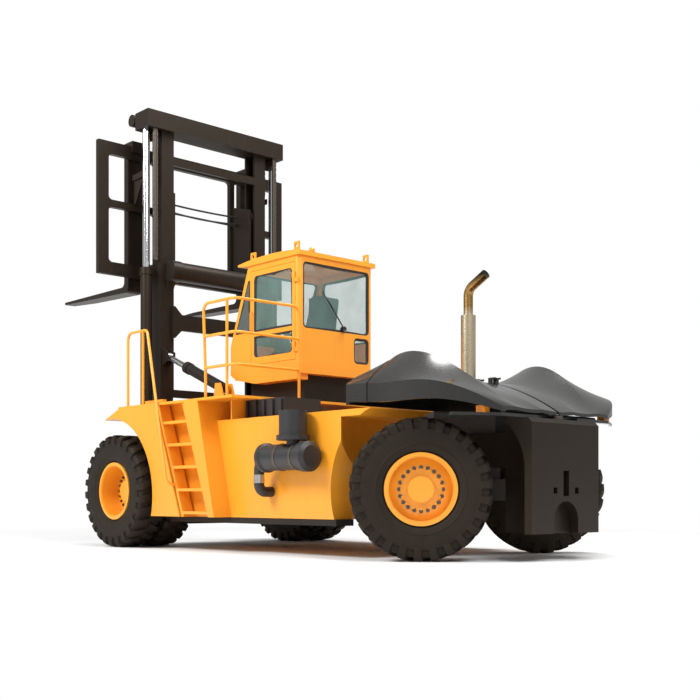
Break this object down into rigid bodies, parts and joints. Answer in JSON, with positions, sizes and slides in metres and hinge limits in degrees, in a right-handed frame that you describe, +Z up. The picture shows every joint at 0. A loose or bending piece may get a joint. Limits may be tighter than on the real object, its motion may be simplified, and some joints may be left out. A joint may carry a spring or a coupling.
{
  "type": "heavy counterbalance forklift truck",
  "caption": "Heavy counterbalance forklift with a raised telescopic mast, wide fork carriage, dual drive wheels, steered rear wheels and a high cab behind the mast.",
  "frame": {"origin": "on the ground under the middle of the whole truck, forks included", "axes": "+X forward to the fork tips, +Y to the truck's left side, +Z up"},
  "size_m": [10.89, 4.725, 7.594],
  "materials": {
    "yellow_paint": "gloss paint",
    "dark_paint": "satin paint",
    "mast_paint": "satin paint",
    "weight_paint": "satin paint",
    "hood_paint": "gloss paint",
    "tyre_rubber": "worn rubber",
    "chrome_rod": "polished",
    "steel": "bare",
    "iron": "cast",
    "glass": "clear",
    "cloth": "woven",
    "plastic": "moulded",
    "amber_lens": "clear lens",
    "stainless": "satin"
  },
  "bodies": {
    "chassis": {"main_frame": "dark_paint", "engine_block": "iron", "counterweight": "weight_paint", "tow_pin": "steel", "side_tank_left": "yellow_paint", "side_tank_right": "yellow_paint", "front_fenders": "yellow_paint", "deck": "yellow_paint", "ladders": "yellow_paint", "handrails": "yellow_paint", "cab_base": "yellow_paint", "cab_shell": "yellow_paint", "cab_roof": "yellow_paint", "cab_glass": "glass", "operator_chair": "cloth", "steering_console": "plastic", "air_cleaner": "plastic", "exhaust_stack": "stainless", "hood_base": "hood_paint", "drive_axle": "dark_paint", "steer_axle": "dark_paint", "tilt_brackets": "yellow_paint", "side_sills": "dark_paint", "service_boxes": "plastic", "cab_pedestal": "dark_paint", "lamps": "amber_lens"},
    "door": {"cab_door": "yellow_paint", "door_glass": "glass"},
    "lid_left": {"hood_lid_left": "hood_paint"},
    "lid_right": {"hood_lid_right": "hood_paint"},
    "mast": {"outer_mast": "mast_paint", "lift_barrels": "mast_paint"},
    "upper_mast": {"inner_mast": "mast_paint", "lift_rods": "chrome_rod", "lift_chains": "steel"},
    "fork_carriage": {"carriage": "mast_paint"},
    "left_fork": {"fork_left": "mast_paint"},
    "right_fork": {"fork_right": "mast_paint"},
    "tilt_cylinders": {"tilt_barrels": "dark_paint"},
    "tilt_pistons": {"tilt_rods": "chrome_rod"},
    "drive_wheel_left": {"drive_tyres_left": "tyre_rubber", "drive_rims_left": "yellow_paint"},
    "drive_wheel_right": {"drive_tyres_right": "tyre_rubber", "drive_rims_right": "yellow_paint"},
    "knuckle_left": {"steer_knuckle_left": "dark_paint"},
    "knuckle_right": {"steer_knuckle_right": "dark_paint"},
    "steer_wheel_left": {"steer_tyre_left": "tyre_rubber", "steer_rim_left": "yellow_paint"},
    "steer_wheel_right": {"steer_tyre_right": "tyre_rubber", "steer_rim_right": "yellow_paint"}
  },
  "joints": [
    {"name": "mast_tilt", "type": "hinge", "parent": "chassis", "child": "mast", "pos_m": [2.055, 0, 0.935], "axis": [0, 1, 0], "range_deg": [-10, 5]},
    {"name": "mast_lift", "type": "slide", "parent": "mast", "child": "upper_mast", "axis": [0, 0, 1], "range_m": [-2.225, 0.35]},
    {"name": "carriage_lift", "type": "slide", "parent": "upper_mast", "child": "fork_carriage", "axis": [0, 0, 1], "range_m": [-2.23, 0.355]},
    {"name": "fork_shift_left", "type": "slide", "parent": "fork_carriage", "child": "left_fork", "axis": [0, 1, 0], "range_m": [-0.8, 0.6]},
    {"name": "fork_shift_right", "type": "slide", "parent": "fork_carriage", "child": "right_fork", "axis": [0, 1, 0], "range_m": [-0.61, 0.81]},
    {"name": "tilt_cylinder_swing", "type": "hinge", "parent": "chassis", "child": "tilt_cylinders", "pos_m": [0.605, 0, 2.62], "axis": [0, 1, 0], "range_deg": [-6.15, 3.07]},
    {"name": "tilt_piston_slide", "type": "slide", "parent": "tilt_cylinders", "child": "tilt_pistons", "axis": [0.9249, 0, 0.3802], "range_m": [-0.3756, 0.1878]},
    {"name": "steer_left", "type": "hinge", "parent": "chassis", "child": "knuckle_left", "pos_m": [-4.045, 1.27, 0.935], "axis": [0, 0, 1], "range_deg": [-103, 17]},
    {"name": "steer_right", "type": "hinge", "parent": "chassis", "child": "knuckle_right", "pos_m": [-4.045, -1.27, 0.935], "axis": [0, 0, 1], "range_deg": [-103.5, 17.5]},
    {"name": "drive_roll_left", "type": "hinge", "parent": "chassis", "child": "drive_wheel_left", "pos_m": [2.055, 1.81, 0.935], "axis": [0, 1, 0], "continuous": true},
    {"name": "drive_roll_right", "type": "hinge", "parent": "chassis", "child": "drive_wheel_right", "pos_m": [2.055, -1.81, 0.935], "axis": [0, 1, 0], "continuous": true},
    {"name": "steer_roll_left", "type": "hinge", "parent": "knuckle_left", "child": "steer_wheel_left", "pos_m": [-4.19504, 1.4309, 0.935], "axis": [-0.682, 0.7314, 0], "continuous": true},
    {"name": "steer_roll_right", "type": "hinge", "parent": "knuckle_right", "child": "steer_wheel_right", "pos_m": [-3.89496, -1.4309, 0.935], "axis": [-0.682, 0.7314, 0], "continuous": true},
    {"name": "door_swing", "type": "hinge", "parent": "chassis", "child": "door", "pos_m": [-0.859, 0.822, 3.7], "axis": [0, 0, 1], "range_deg": [0, 80]},
    {"name": "lid_open_left", "type": "hinge", "parent": "chassis", "child": "lid_left", "pos_m": [-4.2, 0.052, 2.478], "axis": [1, 0, 0], "range_deg": [0, 60]},
    {"name": "lid_open_right", "type": "hinge", "parent": "chassis", "child": "lid_right", "pos_m": [-4.2, -0.052, 2.478], "axis": [-1, 0, 0], "range_deg": [0, 60]}
  ],
  "couplings": [
    {"joint": "carriage_lift", "follows": "mast_lift", "ratio": 1},
    {"joint": "fork_shift_right", "follows": "fork_shift_left", "ratio": -1},
    {"joint": "tilt_cylinder_swing", "follows": "mast_tilt", "ratio": 0.6025},
    {"joint": "tilt_piston_slide", "follows": "mast_tilt", "m_per_rad": 2.1097},
    {"joint": "steer_right", "follows": "steer_left", "ratio": 1}
  ]
}
